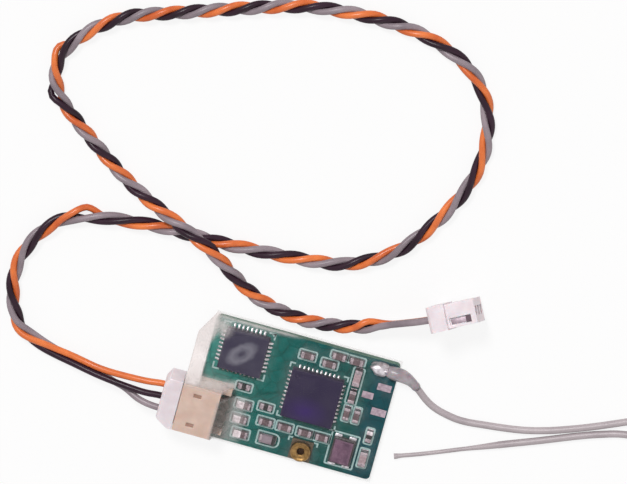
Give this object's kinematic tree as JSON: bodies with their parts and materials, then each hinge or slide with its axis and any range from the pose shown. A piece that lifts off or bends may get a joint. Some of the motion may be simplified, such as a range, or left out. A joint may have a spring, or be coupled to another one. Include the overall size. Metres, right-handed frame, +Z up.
{
  "type": "rc receiver",
  "caption": "Small bare-board radio-control receiver in clear shrink film, with a twisted plug-in wire lead and a coax antenna.",
  "frame": {"origin": "centre of the sleeve's flat underside, below the middle of the circuit board, on the surface it lies on", "axes": "+X along the board's long side, away from the header; +Y across the board, towards the antenna's corner; +Z up from the underside through the components"},
  "size_m": [0.0866, 0.0555, 0.0068],
  "materials": {
    "solder_mask_green": "satin solder mask over glass-epoxy board",
    "clear_film": "clear shrunk film",
    "beige_nylon": "moulded nylon",
    "white_nylon": "moulded nylon",
    "chip_epoxy": "moulded epoxy",
    "tinned_metal": "tin-plated metal and solder",
    "gilt_brass": "gold-plated brass",
    "socket_plastic": "dark moulded plastic",
    "capacitor_ceramic": "fired ceramic with tinned ends",
    "resistor_glaze": "black glaze with tinned ends",
    "crystal_ceramic": "dark ceramic",
    "crystal_metal": "nickel-plated lid",
    "milky_glue": "milky hot-melt glue",
    "coax_grey": "smooth grey jacket",
    "wire_orange": "glossy orange insulation",
    "wire_black": "glossy black insulation",
    "wire_grey": "glossy grey insulation"
  },
  "bodies": {
    "root": {"circuit_board": "solder_mask_green", "shrink_sleeve": "clear_film", "header_housing": "beige_nylon", "header_pin_1": "tinned_metal", "header_pin_2": "tinned_metal", "header_pin_3": "tinned_metal", "board_plug_housing": "white_nylon", "board_plug_terminal_1": "tinned_metal", "board_plug_terminal_2": "tinned_metal", "board_plug_terminal_3": "tinned_metal", "far_plug_housing": "white_nylon", "far_plug_terminal_1": "tinned_metal", "far_plug_terminal_2": "tinned_metal", "far_plug_terminal_3": "tinned_metal", "lead_bundle": "wire_orange", "mcu_chip": "chip_epoxy", "radio_chip": "chip_epoxy", "crystal_base": "crystal_ceramic", "crystal_lid": "crystal_metal", "rf_socket_base": "socket_plastic", "rf_socket_shell": "gilt_brass", "capacitor_1": "capacitor_ceramic", "capacitor_2": "capacitor_ceramic", "capacitor_3": "capacitor_ceramic", "capacitor_4": "capacitor_ceramic", "capacitor_5": "capacitor_ceramic", "capacitor_6": "capacitor_ceramic", "capacitor_7": "capacitor_ceramic", "capacitor_8": "capacitor_ceramic", "capacitor_9": "capacitor_ceramic", "capacitor_10": "capacitor_ceramic", "capacitor_11": "capacitor_ceramic", "capacitor_12": "capacitor_ceramic", "capacitor_13": "capacitor_ceramic", "capacitor_14": "capacitor_ceramic", "capacitor_15": "capacitor_ceramic", "inductor": "capacitor_ceramic", "diode": "chip_epoxy", "resistor_1": "resistor_glaze", "resistor_2": "resistor_glaze", "resistor_3": "resistor_glaze", "antenna_solder_joint": "tinned_metal", "antenna_glue": "milky_glue", "antenna_coax": "coax_grey", "antenna_element": "coax_grey"}
  },
  "joints": []
}
